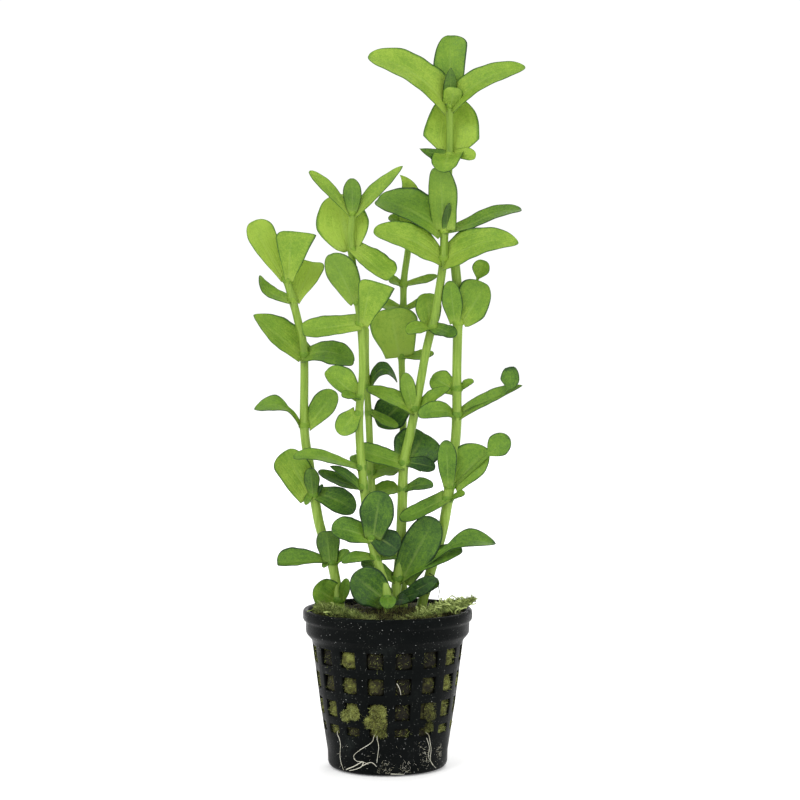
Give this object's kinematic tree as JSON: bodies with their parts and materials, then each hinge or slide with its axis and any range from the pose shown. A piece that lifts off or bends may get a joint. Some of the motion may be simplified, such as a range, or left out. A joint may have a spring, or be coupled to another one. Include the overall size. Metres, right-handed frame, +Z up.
{
  "type": "bacopa monnieri aquarium plant in its net pot",
  "caption": "Bunch of leafy upright stems rooted in a plug of growing medium inside a tapered black net pot.",
  "frame": {"origin": "middle of the flat base of the net pot, on the surface that it stands on", "axes": "+Z up along the pot's axis and the stems; the picture looks along +Y, so +X is its right"},
  "size_m": [0.083, 0.051, 0.2192],
  "materials": {
    "leaf": "satin",
    "stem": "satin",
    "black_plastic": "satin",
    "medium": "matte",
    "moss": "matte",
    "root": "matte",
    "dead_tendril": "matte"
  },
  "bodies": {
    "root": {"tall_stem_leaves_1": "leaf", "tall_stem_leaves_2": "leaf", "tall_stem_leaves_3": "leaf", "tall_stem_leaves_4": "leaf", "tall_stem_leaves_5": "leaf", "tall_stem_leaves_6": "leaf", "tall_stem_leaves_7": "leaf", "tall_stem_leaves_8": "leaf", "tall_stem_leaves_9": "leaf", "tall_stem_leaves_10": "leaf", "centre_left_leaves_1": "leaf", "centre_left_leaves_2": "leaf", "centre_left_leaves_3": "leaf", "centre_left_leaves_4": "leaf", "centre_left_leaves_5": "leaf", "centre_left_leaves_6": "leaf", "centre_left_leaves_7": "leaf", "centre_left_leaves_8": "leaf", "centre_left_leaves_9": "leaf", "centre_left_leaves_10": "leaf", "centre_left_leaves_11": "leaf", "back_left_leaves_1": "leaf", "back_left_leaves_2": "leaf", "back_left_leaves_3": "leaf", "back_left_leaves_4": "leaf", "left_leaves_1": "leaf", "left_leaves_2": "leaf", "left_leaves_3": "leaf", "left_leaves_4": "leaf", "left_leaves_5": "leaf", "left_leaves_6": "leaf", "left_leaves_7": "leaf", "thin_stem_leaves_1": "leaf", "thin_stem_leaves_2": "leaf", "thin_stem_leaves_3": "leaf", "thin_stem_leaves_4": "leaf", "thin_stem_leaves_5": "leaf", "right_leaves_1": "leaf", "right_leaves_2": "leaf", "right_leaves_3": "leaf", "right_leaves_4": "leaf", "right_leaves_5": "leaf", "right_leaves_6": "leaf", "left_stem": "stem", "centre_left_stem": "stem", "back_left_stem": "stem", "thin_stem": "stem", "tall_stem": "stem", "right_stem": "stem", "net_pot": "black_plastic", "growing_medium": "medium", "moss_left": "moss", "moss_right": "moss", "root_1": "root", "root_2": "root", "root_3": "root", "root_4": "root", "tendril": "dead_tendril"}
  },
  "joints": []
}
